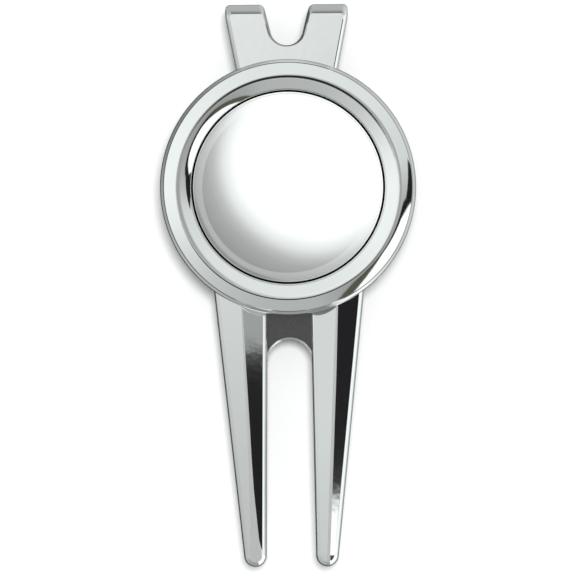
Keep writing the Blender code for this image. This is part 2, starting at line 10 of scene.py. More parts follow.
import bmesh
import bpy
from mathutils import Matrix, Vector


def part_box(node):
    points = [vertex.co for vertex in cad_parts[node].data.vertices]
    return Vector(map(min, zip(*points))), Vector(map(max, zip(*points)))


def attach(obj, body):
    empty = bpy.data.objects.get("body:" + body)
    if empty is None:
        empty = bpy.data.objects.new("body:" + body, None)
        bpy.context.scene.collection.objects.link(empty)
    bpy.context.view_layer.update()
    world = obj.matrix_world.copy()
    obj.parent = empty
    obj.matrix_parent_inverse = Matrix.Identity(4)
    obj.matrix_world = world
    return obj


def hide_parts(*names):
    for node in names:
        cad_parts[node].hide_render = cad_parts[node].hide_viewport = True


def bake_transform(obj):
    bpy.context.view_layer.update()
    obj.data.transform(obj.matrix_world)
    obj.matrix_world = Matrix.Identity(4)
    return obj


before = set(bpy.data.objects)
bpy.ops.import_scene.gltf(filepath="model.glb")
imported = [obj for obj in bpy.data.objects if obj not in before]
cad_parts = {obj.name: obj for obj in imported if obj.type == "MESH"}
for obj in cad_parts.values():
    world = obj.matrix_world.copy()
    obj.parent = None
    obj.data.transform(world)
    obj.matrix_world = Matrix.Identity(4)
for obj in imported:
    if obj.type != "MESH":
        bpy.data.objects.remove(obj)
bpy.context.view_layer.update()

MM = 0.001

# Levels and outer sizes that come from the frame
BODY_LOW, BODY_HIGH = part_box("tool_body")
CUP_LOW, CUP_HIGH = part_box("marker_cup")
PRINT_LOW, PRINT_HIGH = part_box("marker_print")
DOME_LOW, DOME_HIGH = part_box("marker_dome")
PIN_LOW, PIN_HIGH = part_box("clip_hinge_pin")
CREST_Z = BODY_HIGH.z
HEAD_R = BODY_HIGH.x
FORK_TOP_Y = BODY_HIGH.y
TIP_Y = BODY_LOW.y

# Head ring
BACK_Z = 5.4 * MM
WELL_FLOOR_Z = 8.5 * MM
POCKET_FLOOR_Z = 6.8 * MM
CREST_R = 14.7 * MM
BAND_END_R = 16.27 * MM
WELL_R = 12.72 * MM
POCKET_R = 5.1 * MM
STEP_WIDE = 0.12 * MM
STEP_DEEP = 0.22 * MM
LIP_DEG = 49.0
LIP_CORNER = 0.14 * MM
RING_STEPS = 288

# Notched top
FORK_FACE_Z = CREST_Z - 2.1 * MM
FORK_HALF = 8.05 * MM
FORK_FLARE_DEG = 11.2
FORK_SHOULDER_Y = 22.9 * MM
FORK_SHOULDER_R = 6.0 * MM
FORK_ROOT_Y = 13.3 * MM
NOTCH_R = 2.15 * MM
NOTCH_Y = 20.8 * MM
NOTCH_FLARE_DEG = 14.0
TOP_BEVEL = 1.25 * MM
SIDE_BEVEL = 0.62 * MM
NOTCH_BEVEL = 0.5 * MM
FORK_BEVEL_DEEP = 0.85 * MM
FORK_SIDE_DEEP = 0.5 * MM
FORK_DRAFT = 0.045
FORK_DRAFT_Y = 15.0 * MM

# Tines; the strip stops give the width of the flat along the ridge as (Y, width) in millimetres
TINE_ROOT_Y = -13.3 * MM
TINE_RIDGE_Z = 9.1 * MM
TINE_DROP = 1.5 * MM
ROOF_DEG = 33.0
STRIP_DEG = 7.0
STRIP_STOPS = ((-13.0, 0.2), (-24.0, 0.4), (-50.0, 0.41))
LEFT_STRIP_STOPS = ((-13.0, 0.15), (-24.0, 0.3), (-32.0, 0.43), (-36.0, 0.46), (-40.0, 0.6), (-43.6, 0.9),
                    (-46.3, 1.15), (-47.4, 1.5), (-50.0, 2.0))
RIDGE_SHIFT = 0.1 * MM
TINE_INNER_X = 2.92 * MM
TINE_INNER_FROM_Y = -22.7 * MM
TINE_INNER_TAPER = 0.0126
TINE_OUTER_X = 9.88 * MM
TINE_OUTER_FROM_Y = -13.5 * MM
TINE_OUTER_TAPER = 0.1043
TIP_R = 1.42 * MM
TINE_EDGE = 0.62 * MM
TINE_ROUND_R = 0.85 * MM
TINE_EDGE_SLOPE = 0.82
TINE_STATIONS = 70

# Web between the tines
WEB_HALF = 3.4 * MM
WEB_TOP_Y = -14.5 * MM
WEB_Z = 6.72 * MM
WEB_SLOPE = 0.0747
ARCH_R = 2.9 * MM
ARCH_Y = -22.93 * MM

# Marker's print: where its painted shade is centred, and the painted shade's tones by distance in
# millimetres
SHADE_CENTRE = 3.67 * MM
SHADE_STOPS = ((10.2, 1.0), (11.1, 0.89), (12.05, 0.75), (13.0, 0.55), (13.6, 0.45), (14.3, 0.38),
               (16.1, 0.29))
SHADE_SPAN = 20.0
PRINT_WHITE = 0.86

# Hinge
HINGE_Y = (PIN_LOW.y + PIN_HIGH.y) / 2.0
HINGE_Z = (PIN_LOW.z + PIN_HIGH.z) / 2.0
PIN_HOLE_R = 1.05 * MM
LUG_R = 1.8 * MM
LUG_WIDE = 1.8 * MM
LUG_INNER_X = 2.4 * MM
EAR_R = 1.75 * MM
EAR_INNER_X = 4.6 * MM

# Belt clip
CLIP_PLATE = 0.9 * MM
CLIP_HALF = EAR_INNER_X + CLIP_PLATE
CLIP_TIP_HALF = 3.6 * MM
CLIP_TAPER_FROM_Y = -2.0 * MM
CLIP_TAPER_LONG = 16.5 * MM
CLIP_TAB_Y = 18.2 * MM
CLIP_FLAT_END_Y = -11.5 * MM
CLIP_RISE_DEG = 50.0
CLIP_TAB_DEG = 12.0

# Closing spring
SPRING_WIRE_R = 0.3 * MM
SPRING_COIL_R = 1.55 * MM
SPRING_PITCH = 0.72 * MM
SPRING_TURNS = 3.5

# Camera: its height over the crest, its turn, and the width that it sees at the crest
CAMERA_AWAY = 1.0
CAMERA_TURN_DEG = -0.545
SEEN_WIDE = 75.33 * MM

# The casting's surfaces after its bright plate, in the order of its material slots
RECESS, WALL, WEB, RIDGE = 1, 2, 3, 4


# ---------- shapes

def add_piece(name, data):
    """An object linked to the scene."""
    piece = bpy.data.objects.new(name, data)
    bpy.context.scene.collection.objects.link(piece)
    return piece


def finish_mesh(work, name):
    """Turn a bmesh into a piece with its faces pointing out."""
    bmesh.ops.recalc_face_normals(work, faces=work.faces)
    mesh = bpy.data.meshes.new(name)
    work.to_mesh(mesh)
    work.free()
    return add_piece(name, mesh)


def lathe(name, profile, steps):
    """A solid turned about Z from (radius, height) points that run from its top to its bottom."""
    work = bmesh.new()
    rows = []
    for radius, height in profile:
        count = steps if radius > 0.0 else 1
        row = []
        for i in range(count):
            angle = 2.0 * math.pi * i / steps
            row.append(work.verts.new((radius * math.cos(angle), radius * math.sin(angle), height)))
        rows.append(row)
    for upper, lower in zip(rows, rows[1:]):
        for i in range(steps):
            j = (i + 1) % steps
            corners = [upper[i % len(upper)], lower[i % len(lower)]]
            corners += [lower[j % len(lower)], upper[j % len(upper)]]
            work.faces.new(list(dict.fromkeys(corners)))
    return finish_mesh(work, name)


def loft(name, sections, open_end=False):
    """A closed solid through sections of equal point counts; an open end has met in a line."""
    work = bmesh.new()
    rings = [[work.verts.new(point) for point in section] for section in sections]
    count = len(rings[0])
    for near, far in zip(rings, rings[1:]):
        for i in range(count):
            j = (i + 1) % count
            work.faces.new((near[i], near[j], far[j], far[i]))
    work.faces.new(rings[0])
    if open_end:
        bmesh.ops.remove_doubles(work, verts=rings[-1], dist=0.0000001)
    else:
        work.faces.new(rings[-1])
    return finish_mesh(work, name)


def arc(centre, radius, start_deg, end_deg, steps):
    """Points along an arc in a plane, with both ends."""
    points = []
    for i in range(steps + 1):
        angle = math.radians(start_deg + (end_deg - start_deg) * i / steps)
        points.append((centre[0] + radius * math.cos(angle), centre[1] + radius * math.sin(angle)))
    return points


def rounded(corner, before, after, radius, steps):
    """Points of a round corner between the directions to two neighbouring points."""
    ways = []
    for point in (before, after):
        way = (point[0] - corner[0], point[1] - corner[1])
        ways.append([value / math.hypot(*way) for value in way])
    cosine = ways[0][0] * ways[1][0] + ways[0][1] * ways[1][1]
    half = math.acos(max(-1.0, min(1.0, cosine))) / 2.0
    reach = radius / math.tan(half)
    middle = [ways[0][i] + ways[1][i] for i in range(2)]
    away = radius / math.sin(half) / math.hypot(*middle)
    centre = (corner[0] + middle[0] * away, corner[1] + middle[1] * away)
    ends = [(corner[0] + way[0] * reach, corner[1] + way[1] * reach) for way in ways]
    start, end = [math.atan2(y - centre[1], x - centre[0]) for x, y in ends]
    sweep = (end - start + math.pi) % (2.0 * math.pi) - math.pi
    return arc(centre, radius, math.degrees(start), math.degrees(start + sweep), steps)


def rounded_loop(corners):
    """A closed outline from (point, radius, steps) corners; a radius of 0 keeps the corner sharp."""
    points = []
    for i, (corner, radius, steps) in enumerate(corners):
        if radius == 0.0:
            points.append(corner)
            continue
        before = corners[i - 1][0]
        after = corners[(i + 1) % len(corners)][0]
        points += rounded(corner, before, after, radius, steps)
    return points


def joined(first, second, operation="UNION"):
    """Join or cut a piece with another by an exact Boolean, applied at once."""
    step = first.modifiers.new("join", "BOOLEAN")
    step.operation = operation
    step.object = second
    step.solver = "EXACT"
    bpy.context.view_layer.update()
    graph = bpy.context.evaluated_depsgraph_get()
    mesh = bpy.data.meshes.new_from_object(first.evaluated_get(graph))
    first.modifiers.clear()
    old = first.data
    first.data = mesh
    bpy.data.meshes.remove(old)
    bpy.data.objects.remove(second, do_unlink=True)
    return first


def shade(piece, degrees, weighted=True):
    """Smooth shading that keeps edges sharper than an angle, with flat faces ruling their edges."""
    piece.data.shade_smooth()
    piece.data.set_sharp_from_angle(angle=math.radians(degrees))
    if weighted:
        weigh = piece.modifiers.new("flat_faces_rule", "WEIGHTED_NORMAL")
        weigh.mode = "FACE_AREA"
        weigh.weight = 100
        weigh.keep_sharp = True


def outer_tilt(radius):
    """The slope angle of the ring's outer band, away from the crest, in degrees."""
    out = (radius - CREST_R) / MM
    if out < 0.4:
        return 12.0 * out / 0.4
    return 12.0 + 9.6 * (out - 0.4)


def inner_tilt(radius):
    """The slope angle of the ring's inner band, towards the marker, in degrees."""
    inwards = (CREST_R - radius) / MM
    if inwards < 1.25:
        return 13.7 * inwards
    return 17.1 + 10.0 * (inwards - 1.25) / 0.6


def band(start_r, end_r, tilt, steps):
    """Points of a band that leaves the crest and falls by its slope angle."""
    points = []
    height = CREST_Z
    last = CREST_R
    for i in range(1, steps + 1):
        radius = start_r + (end_r - start_r) * i / steps
        middle = (radius + last) / 2.0
        height -= abs(radius - last) * math.tan(math.radians(tilt(middle)))
        last = radius
        points.append((radius, height))
    return points


def head():
    """The head: a turned ring with two curved bands round a crest, a well and a magnet pocket."""
    rim_r = 0.16 * MM
    inner = band(CREST_R, WELL_R + 0.6 * rim_r, inner_tilt, 34)
    outer = band(CREST_R, BAND_END_R, outer_tilt, 30)
    rim_z = inner[-1][1]
    end_z = outer[-1][1]
    pocket_fillet = 0.3 * MM
    well_fillet = 0.2 * MM
    profile = [(0.0, POCKET_FLOOR_Z), (POCKET_R - pocket_fillet, POCKET_FLOOR_Z)]
    fillet_centre = (POCKET_R - pocket_fillet, POCKET_FLOOR_Z + pocket_fillet)
    profile += arc(fillet_centre, pocket_fillet, -90.0, 0.0, 6)[1:]
    profile += [(POCKET_R, WELL_FLOOR_Z - 0.1 * MM), (POCKET_R + 0.1 * MM, WELL_FLOOR_Z)]
    profile += [(WELL_R - well_fillet, WELL_FLOOR_Z)]
    profile += arc((WELL_R - well_fillet, WELL_FLOOR_Z + well_fillet), well_fillet, -90.0, 0.0, 6)[1:]
    profile += arc((WELL_R + rim_r, rim_z - 0.8 * rim_r), rim_r, 180.0, 128.0, 5)
    profile += list(reversed(inner))
    profile.append((CREST_R, CREST_Z))
    profile += outer
    # The step down to the lip, the lip itself and the rounded corner above the outer wall
    for out, down in ((0.04 * MM, 0.06 * MM), (0.09 * MM, 0.18 * MM), (STEP_WIDE, STEP_DEEP)):
        profile.append((BAND_END_R + out, end_z - down))
    lip = math.radians(LIP_DEG)
    lip_r = HEAD_R - LIP_CORNER
    lip_z = end_z - STEP_DEEP - (lip_r - BAND_END_R - STEP_WIDE) * math.tan(lip)
    profile += [(lip_r, lip_z)]
    corner_r = LIP_CORNER / (1.0 - math.sin(lip))
    corner_z = lip_z - corner_r * math.cos(lip)
    profile += arc((HEAD_R - corner_r, corner_z), corner_r, 90.0 - LIP_DEG, 0.0, 5)[1:]
    profile += arc((HEAD_R - 0.4 * MM, BACK_Z + 0.4 * MM), 0.4 * MM, 0.0, -90.0, 6)
    profile.append((0.0, BACK_Z))
    return lathe("tool_casting", profile, RING_STEPS)


def fork_outline(share):
    """The notched top's outline; share 0 is its outer edge and 1 is the edge of its flat face."""
    top_in = TOP_BEVEL * share
    side_in = SIDE_BEVEL * share
    notch_in = NOTCH_BEVEL * share
    top_y = FORK_TOP_Y - top_in
    flare = math.radians(FORK_FLARE_DEG)
    shoulder_centre = (FORK_HALF - FORK_SHOULDER_R, FORK_SHOULDER_Y)
    shoulder = arc(shoulder_centre, FORK_SHOULDER_R, -FORK_FLARE_DEG, 0.0, 6)
    shoulder = [(x - side_in, min(y, top_y - 0.7 * MM)) for x, y in shoulder]
    low = shoulder[0]
    root = (low[0] - math.tan(flare) * (low[1] - FORK_ROOT_Y), FORK_ROOT_Y)
    corner = (FORK_HALF - side_in, top_y)
    notch_flare = math.radians(NOTCH_FLARE_DEG)
    notch_r = NOTCH_R + notch_in
    notch_y = NOTCH_Y + 0.6 * notch_in
    tangent = (notch_r * math.cos(notch_flare), notch_y - notch_r * math.sin(notch_flare))
    mouth = (tangent[0] + math.tan(notch_flare) * (top_y - tangent[1]), top_y)
    right = [root] + shoulder[:-1]
    right += rounded(corner, shoulder[-1], mouth, (0.65 - 0.3 * share) * MM, 8)
    right += rounded(mouth, corner, tangent, (0.85 - 0.45 * share) * MM, 8)
    bottom = arc((0.0, notch_y), notch_r, -NOTCH_FLARE_DEG, NOTCH_FLARE_DEG - 180.0, 40)
    left = [(-x, y) for x, y in reversed(right)]
    return right + bottom + left


def notched_top():
    """The notched top: a plate whose upper edge is a curved bevel of uneven width."""
    edge = 0.14
    drops = [(0.0, 1.0, 0.3), (0.25 * edge, 1.0, 0.14), (0.6 * edge, 1.0, 0.05)]
    steps = 10
    for i in range(steps + 1):
        share = i / steps
        drops.append((edge + (1.0 - edge) * share, 1.0 - 1.3 * share + 0.3 * share * share, 0.0))
    sections = [[(x, y, BACK_Z) for x, y in fork_outline(0.02)]]
    sections.append([(x, y, BACK_Z + 0.15 * MM) for x, y in fork_outline(0.0)])
    outer = fork_outline(0.0)
    for share, part, extra in drops:
        placed = []
        for (x, y), (_, outer_y) in zip(fork_outline(share), outer):
            at_top = min(max((outer_y - FORK_TOP_Y + 1.1 * MM) / (0.9 * MM), 0.0), 1.0)
            deep = FORK_SIDE_DEEP + (FORK_BEVEL_DEEP - FORK_SIDE_DEEP) * at_top
            level = FORK_FACE_Z - FORK_DRAFT * (y - FORK_DRAFT_Y)
            placed.append((x, y, level - deep * part - extra * MM))
        sections.append(placed)
    return loft("notched_top", sections)


def tine_edges(at_y):
    """The inner and outer X of the right tine, before its tip is rounded."""
    inner = TINE_INNER_X + TINE_INNER_TAPER * (TINE_INNER_FROM_Y - at_y)
    outer = TINE_OUTER_X - TINE_OUTER_TAPER * (TINE_OUTER_FROM_Y - at_y)
    return inner, outer


def ridge_height(at_y):
    """The ridge line's height: level at the head, falling faster and faster towards the tip."""
    along = (TINE_ROOT_Y - at_y) / (TINE_ROOT_Y - TIP_Y)
    return TINE_RIDGE_Z - TINE_DROP * along * along


def strip_width(at_y, left):
    """The width of the narrow flat along the ridge, which grows towards the tip on the left tine."""
    stops = LEFT_STRIP_STOPS if left else STRIP_STOPS
    place = at_y / MM
    for (high, before), (low, after) in zip(stops, stops[1:]):
        if low <= place <= high:
            return (before + (after - before) * (high - place) / (high - low)) * MM
    return stops[0][1] * MM


def strip_sides(width):
    """How far the flat along the ridge reaches to the left and to the right of it, and its depth."""
    roof = math.tan(math.radians(ROOF_DEG))
    flat = math.tan(math.radians(STRIP_DEG))
    depth = width / (1.0 / (roof + flat) + 1.0 / (roof - flat))
    return depth / (roof + flat), depth / (roof - flat), depth


def roof_drop(off, width):
    """How far the top is below the line where the two roofs would meet."""
    depth = strip_sides(width)[2]
    roof = abs(off) * math.tan(math.radians(ROOF_DEG))
    return max(roof, depth + off * math.tan(math.radians(STRIP_DEG)))


def tine_top(point, middle, side, left):
    """The height of a tine's top: its roof, with a chamfer and a rounded edge inside its outline."""
    to_x = middle[0] - point[0]
    to_y = middle[1] - point[1]
    reach = math.hypot(to_x, to_y)
    inset = min(max(side, TINE_EDGE), reach)
    x = point[0] + to_x * inset / reach
    y = point[1] + to_y * inset / reach
    height = ridge_height(y) - roof_drop(x - middle[0], strip_width(y, left))
    slant = math.atan(TINE_EDGE_SLOPE)
    round_end = TINE_ROUND_R * (1.0 - math.sin(slant))
    height -= TINE_EDGE_SLOPE * max(0.0, TINE_EDGE - max(side, round_end))
    if side < round_end:
        across = TINE_ROUND_R - side
        height -= TINE_ROUND_R * math.cos(slant) - math.sqrt(TINE_ROUND_R ** 2 - across ** 2)
    return height


def tine(name, mirror):
    """A tine as rows that follow its outline inwards, from its side wall up to its ridge."""
    inner, outer = tine_edges(TIP_Y + TIP_R)
    radius = (outer - inner) / 2.0
    centre = ((outer + inner) / 2.0, TIP_Y + radius)
    down = []
    for i in range(TINE_STATIONS + 1):
        at_y = TINE_ROOT_Y + (centre[1] - TINE_ROOT_Y) * i / TINE_STATIONS
        inner, outer = tine_edges(at_y)
        shift = RIDGE_SHIFT * i / TINE_STATIONS
        down.append(((inner, at_y), (outer, at_y), ((inner + outer) / 2.0 + shift, at_y)))
    path = [(low, middle) for low, _, middle in down]
    path += [(point, down[-1][2]) for point in arc(centre, radius, 180.0, 360.0, 40)[1:-1]]
    path += [(high, middle) for _, high, middle in reversed(down)]
    if mirror:
        path = [((-x, y), (-mid_x, mid_y)) for (x, y), (mid_x, mid_y) in reversed(path)]
    round_end = TINE_ROUND_R * (1.0 - math.sin(math.atan(TINE_EDGE_SLOPE)))
    insets = [TINE_ROUND_R * (1.0 - math.sin(math.radians(angle))) for angle in (90, 80, 71, 62, 54, 47)]
    insets += [round_end, round_end + 0.03 * MM, TINE_EDGE - 0.03 * MM, TINE_EDGE, TINE_EDGE + 0.03 * MM]
    rows = []
    for inset, up in ((0.2 * MM, 0.0), (0.06 * MM, 0.06 * MM), (0.0, 0.2 * MM)):
        rows.append([(x, y, BACK_Z + up) for x, y in inset_row(path, inset)])
    for inset in insets:
        row = []
        for (x, y), (point, middle) in zip(inset_row(path, inset), path):
            row.append((x, y, tine_top(point, middle, inset, mirror)))
        rows.append(row)
    # The flanks rise from the chamfer to the strip's edge, and the strip's rows run on to the ridge
    start = insets[-1]
    steps = [(share, 0.0) for share in (0.25, 0.5, 0.75, 0.9, 0.97, 1.0)]
    steps += [(1.0, share) for share in (0.05, 0.25, 0.5, 0.75, 0.95, 1.0)]
    for on_flank, on_strip in steps:
        row = []
        for point, middle in path:
            across = middle[0] - point[0]
            reach = math.hypot(across, middle[1] - point[1])
            reach_left, reach_right, _ = strip_sides(strip_width(middle[1], mirror))
            flat = (reach_left if across > 0.0 else reach_right) * reach / max(abs(across), 0.00001 * MM)
            edge = reach - min(flat, 0.95 * (reach - start))
            side = start + (edge - start) * on_flank + (reach - edge) * on_strip
            x = point[0] + across * side / reach
            y = point[1] + (middle[1] - point[1]) * side / reach
            row.append((x, y, tine_top(point, middle, side, mirror)))
        rows.append(row)
    return loft(name, rows, open_end=True)


def inset_row(path, inset):
    """The outline of a tine, moved in towards its ridge by a distance."""
    row = []
    for point, middle in path:
        reach = math.hypot(middle[0] - point[0], middle[1] - point[1])
        share = inset / reach
        row.append((point[0] + (middle[0] - point[0]) * share, point[1] + (middle[1] - point[1]) * share))
    return row


def web():
    """The web that joins the tines: it slopes gently away from the head and ends in an arch."""
    def outline(inset, level):
        points = [(WEB_HALF, WEB_TOP_Y), (-WEB_HALF, WEB_TOP_Y), (-WEB_HALF, ARCH_Y)]
        points += arc((0.0, ARCH_Y), ARCH_R + inset, 180.0, 0.0, 48)
        points.append((WEB_HALF, ARCH_Y))
        placed = []
        for x, y in points:
            top = WEB_Z - WEB_SLOPE * (WEB_TOP_Y - y)
            z = BACK_Z if level is None else top - level
            placed.append((x, y, z))
        return placed
    rim = 0.26 * MM
    sections = [outline(0.0, None), outline(0.0, rim + 0.03 * MM), outline(0.03 * MM, rim)]
    sections += [outline(0.6 * rim, 0.35 * rim), outline(rim, 0.0)]
    return loft("web", sections)


def plate_in_x(name, outline, low_x, high_x, centre, shrink, shrink_above):
    """A plate across X: its outline in Y and Z shrinks towards a centre at its two faces."""
    soft = 0.12 * MM
    levels = ((low_x, shrink, shrink_above), (low_x + soft, 1.0, 1.0))
    levels += ((high_x - soft, 1.0, 1.0), (high_x, shrink, shrink_above))
    sections = []
    for x, wide, tall_above in levels:
        placed = []
        for y, z in outline:
            tall = wide if z < centre[1] else tall_above
            placed.append((x, centre[0] + (y - centre[0]) * wide, centre[1] + (z - centre[1]) * tall))
        sections.append(placed)
    return loft(name, sections)


def lug(name, low_x):
    """One hinge lug on the back of the head, with its foot spread where it meets the casting."""
    root_z = BACK_Z + 0.4 * MM
    points = [(HINGE_Y + LUG_R + 1.0 * MM, root_z), (HINGE_Y + LUG_R + 0.7 * MM, BACK_Z - 0.1 * MM)]
    points += arc((HINGE_Y, HINGE_Z), LUG_R, 12.0, -192.0, 40)
    points += [(HINGE_Y - LUG_R - 0.7 * MM, BACK_Z - 0.1 * MM), (HINGE_Y - LUG_R - 1.0 * MM, root_z)]
    return plate_in_x(name, points, low_x, low_x + LUG_WIDE, (HINGE_Y, HINGE_Z + 0.4 * MM), 0.93, 1.0)


def hinge_rod(name, radius, half):
    """A plain rod along the hinge's axis, used as a cutter."""
    steps = 48
    ring = arc((HINGE_Y, HINGE_Z), radius, 0.0, 360.0 - 360.0 / steps, steps - 1)
    return loft(name, [[(x, y, z) for y, z in ring] for x in (-half, half)])


def tool_casting():
    """The whole casting, joined into one solid, with a surface of its own on each kind of face."""
    body = head()
    joined(body, notched_top())
    joined(body, tine("right_tine", False))
    joined(body, tine("left_tine", True))
    joined(body, web())
    joined(body, lug("right_lug", LUG_INNER_X))
    joined(body, lug("left_lug", -LUG_INNER_X - LUG_WIDE))
    joined(body, hinge_rod("pin_hole", PIN_HOLE_R, 6.0 * MM), "DIFFERENCE")
    body.data.materials.clear()
    for surface in (chrome_plate, recess_painted_shade, satin_wall_painted_shade, web_painted_shade, drawn_ridge):
        body.data.materials.append(surface())
    edge_z = CREST_Z - 0.55 * MM
    for face in body.data.polygons:
        centre = face.center
        inside = math.hypot(centre.x, centre.y) < WELL_R + 0.015 * MM
        # The well's faces get a near-black surface: painted shade
        if inside and POCKET_FLOOR_Z - 0.1 * MM < centre.z < edge_z:
            face.material_index = RECESS
        # The upright wall gets a darker surface: painted shade
        elif abs(math.hypot(centre.x, centre.y) - HEAD_R) < 0.03 * MM and abs(face.normal.z) < 0.2:
            face.material_index = WALL
        # The web's flat top gets a dark surface: painted shade
        elif face.normal.z > 0.965 and centre.y < -15.5 * MM:
            on_web = abs(centre.x) < WEB_HALF and centre.y > ARCH_Y - MM
            face.material_index = WEB if on_web else RIDGE
    shade(body, 21.0)
    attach(body, "tool")
    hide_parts("tool_body")


# ---------- marker

def marker_cup():
    """The stamped cup: a flat floor and an upright rim with rolled edges."""
    outer_r = CUP_HIGH.x
    bore_r = outer_r - 0.2 * MM
    low, high = CUP_LOW.z, CUP_HIGH.z
    floor_z = PRINT_LOW.z - 0.09 * MM
    roll = 0.09 * MM
    profile = [(0.0, floor_z), (bore_r - 0.05 * MM, floor_z), (bore_r, floor_z + 0.05 * MM)]
    profile += arc((bore_r + roll, high - roll), roll, 180.0, 90.0, 6)
    profile += arc((outer_r - roll, high - roll), roll, 90.0, 0.0, 6)
    profile += arc((outer_r - 0.2 * MM, low + 0.2 * MM), 0.2 * MM, 0.0, -90.0, 5)
    profile.append((0.0, low))
    piece = lathe("marker_rim_cup", profile, 240)
    piece.data.materials.append(plated_cup())
    shade(piece, 40.0)
    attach(piece, "marker")
    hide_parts("marker_cup")


def marker_label():
    """The printed disc, a thin round sheet with a softened edge."""
    radius = PRINT_HIGH.x
    low, high = PRINT_LOW.z, PRINT_HIGH.z
    edge = 0.03 * MM
    profile = [(0.0, high), (0.5 * radius, high), (radius - edge, high), (radius, high - edge)]
    profile += [(radius, low), (0.0, low)]
    piece = lathe("marker_label", profile, 240)
    piece.data.materials.append(white_vinyl_painted_shade())
    shade(piece, 40.0)
    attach(piece, "marker")
    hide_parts("marker_print")


def marker_lens():
    """The clear resin lens: a low dome, rolled over at its edge."""
    radius = DOME_HIGH.x
    low, high = DOME_LOW.z, DOME_HIGH.z
    shoulder = 0.07 * MM
    flat_r = radius - shoulder
    shoulder_z = low + 0.12 * (high - low)
    profile = []
    for i in range(17):
        share = i / 16.0
        profile.append((flat_r * share, high - (high - shoulder_z - 0.12 * MM) * share ** 2))
    start_z = profile[-1][1]
    for i in range(1, 11):
        angle = math.radians(9.0 * i)
        fall = (start_z - low) * 0.85 * (1.0 - math.cos(angle))
        profile.append((flat_r + shoulder * math.sin(angle), start_z - fall))
    profile += [(radius, low), (0.0, low)]
    piece = lathe("marker_lens", profile, 240)
    piece.data.materials.append(clear_resin())
    shade(piece, 60.0, weighted=False)
    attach(piece, "marker")
    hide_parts("marker_dome")


# ---------- clip

def clip_path():
    """The clip's middle line in Y and Z, from its tab round to the lead-in past its nose."""
    rise_turn = math.radians(CLIP_RISE_DEG)
    tab_turn = math.radians(CLIP_TAB_DEG)
    tab_run = 1.6 * MM
    bend_r = 3.0 * MM
    nose_r = 1.3 * MM
    nose_z = BACK_Z - 0.06 * MM - CLIP_PLATE / 2.0
    both_bends = (bend_r + nose_r) * (1.0 - math.cos(rise_turn))
    climb = (nose_z - CLIP_PLATE / 2.0 - both_bends) / math.sin(rise_turn)
    tab_z = CLIP_PLATE / 2.0 + tab_run * math.sin(tab_turn) + bend_r * (1.0 - math.cos(tab_turn))
    flat_start = CLIP_TAB_Y - tab_run * math.cos(tab_turn) - bend_r * math.sin(tab_turn)
    moves = [(tab_run, 0.0, 3), (bend_r, tab_turn, 8), (flat_start - CLIP_FLAT_END_Y, 0.0, 24)]
    moves += [(bend_r, rise_turn, 20), (climb, 0.0, 4), (nose_r, -2.0 * rise_turn, 28), (0.5 * MM, 0.0, 2)]
    points = [(CLIP_TAB_Y, tab_z)]
    heading = -tab_turn
    for size, turn, steps in moves:
        for _ in range(steps):
            bend = turn / steps
            run = size / steps if turn == 0.0 else 2.0 * size * math.sin(abs(bend) / 2.0)
            heading += bend / 2.0
            y, z = points[-1]
            points.append((y - run * math.cos(heading), z + run * math.sin(heading)))
            heading += bend / 2.0
    return points


def clip_half(at_y):
    """Half the clip's width, which narrows towards its nose."""
    share = min(max((CLIP_TAPER_FROM_Y - at_y) / CLIP_TAPER_LONG, 0.0), 1.0)
    return CLIP_HALF - (CLIP_HALF - CLIP_TIP_HALF) * share


def clip_strap():
    """The bent strap as a loft of small rounded rectangles along the clip's middle line."""
    path = clip_path()
    half_plate = CLIP_PLATE / 2.0
    soft = 0.16 * MM
    sections = []
    for i, (y, z) in enumerate(path):
        before = path[max(0, i - 1)]
        after = path[min(len(path) - 1, i + 1)]
        along = (after[0] - before[0], after[1] - before[1])
        size = math.hypot(*along)
        across = (-along[1] / size, along[0] / size)
        end = 0.82 if i in (0, len(path) - 1) else 1.0
        half = clip_half(y) - (1.0 - end) * 0.8 * MM
        signs = ((-1, -1), (1, -1), (1, 1), (-1, 1))
        corners = [((side * half, up * half_plate * end), soft * end, 3) for side, up in signs]
        placed = []
        for x, off in rounded_loop(corners):
            placed.append((x, y + across[0] * off, z + across[1] * off))
        sections.append(placed)
    return loft("belt_clip", sections)


def clip_ear(name, low_x):
    """One ear of the clip, with eased edges."""
    foot_z = CLIP_PLATE / 2.0
    points = [(HINGE_Y + 2.6 * MM, foot_z)]
    points += arc((HINGE_Y, HINGE_Z), EAR_R, -10.0, 160.0, 36)
    points += [(HINGE_Y - 4.6 * MM, 1.4 * MM), (HINGE_Y - 5.6 * MM, foot_z)]
    inset = 0.05 * MM
    centre = (HINGE_Y - 0.6 * MM, 2.2 * MM)
    return plate_in_x(name, points, low_x + inset, low_x + CLIP_PLATE - inset, centre, 0.94, 0.94)


def belt_clip():
    """The belt clip: strap and ears joined and drilled for the pin."""
    clip = clip_strap()
    joined(clip, clip_ear("right_ear", EAR_INNER_X))
    joined(clip, clip_ear("left_ear", -CLIP_HALF))
    joined(clip, hinge_rod("ear_hole", PIN_HOLE_R, 8.0 * MM), "DIFFERENCE")
    clip.data.materials.clear()
    clip.data.materials.append(satin_steel())
    shade(clip, 32.0)
    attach(clip, "clip")
    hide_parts("clip_lever")


def hinge_pin():
    """The hinge pin, with a domed head at each end."""
    end = PIN_HIGH.x
    neck = end - 0.6 * MM
    shank_r = 1.0 * MM
    head_r = PIN_HIGH.z - HINGE_Z
    profile = []
    for i in range(9):
        angle = math.radians(90.0 * i / 8.0)
        profile.append((head_r * math.sin(angle), neck + 0.15 * MM + 0.45 * MM * math.cos(angle)))
    profile += [(head_r, neck + 0.04 * MM), (head_r - 0.04 * MM, neck), (shank_r, neck)]
    lower = [(radius, -height) for radius, height in reversed(profile)]
    piece = lathe("hinge_pin", profile + lower, 64)
    for vert in piece.data.vertices:
        x, y, z = vert.co
        vert.co = (z, HINGE_Y + y, HINGE_Z - x)
    piece.data.materials.append(turned_steel())
    shade(piece, 40.0)
    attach(piece, "clip")
    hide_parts("clip_hinge_pin")


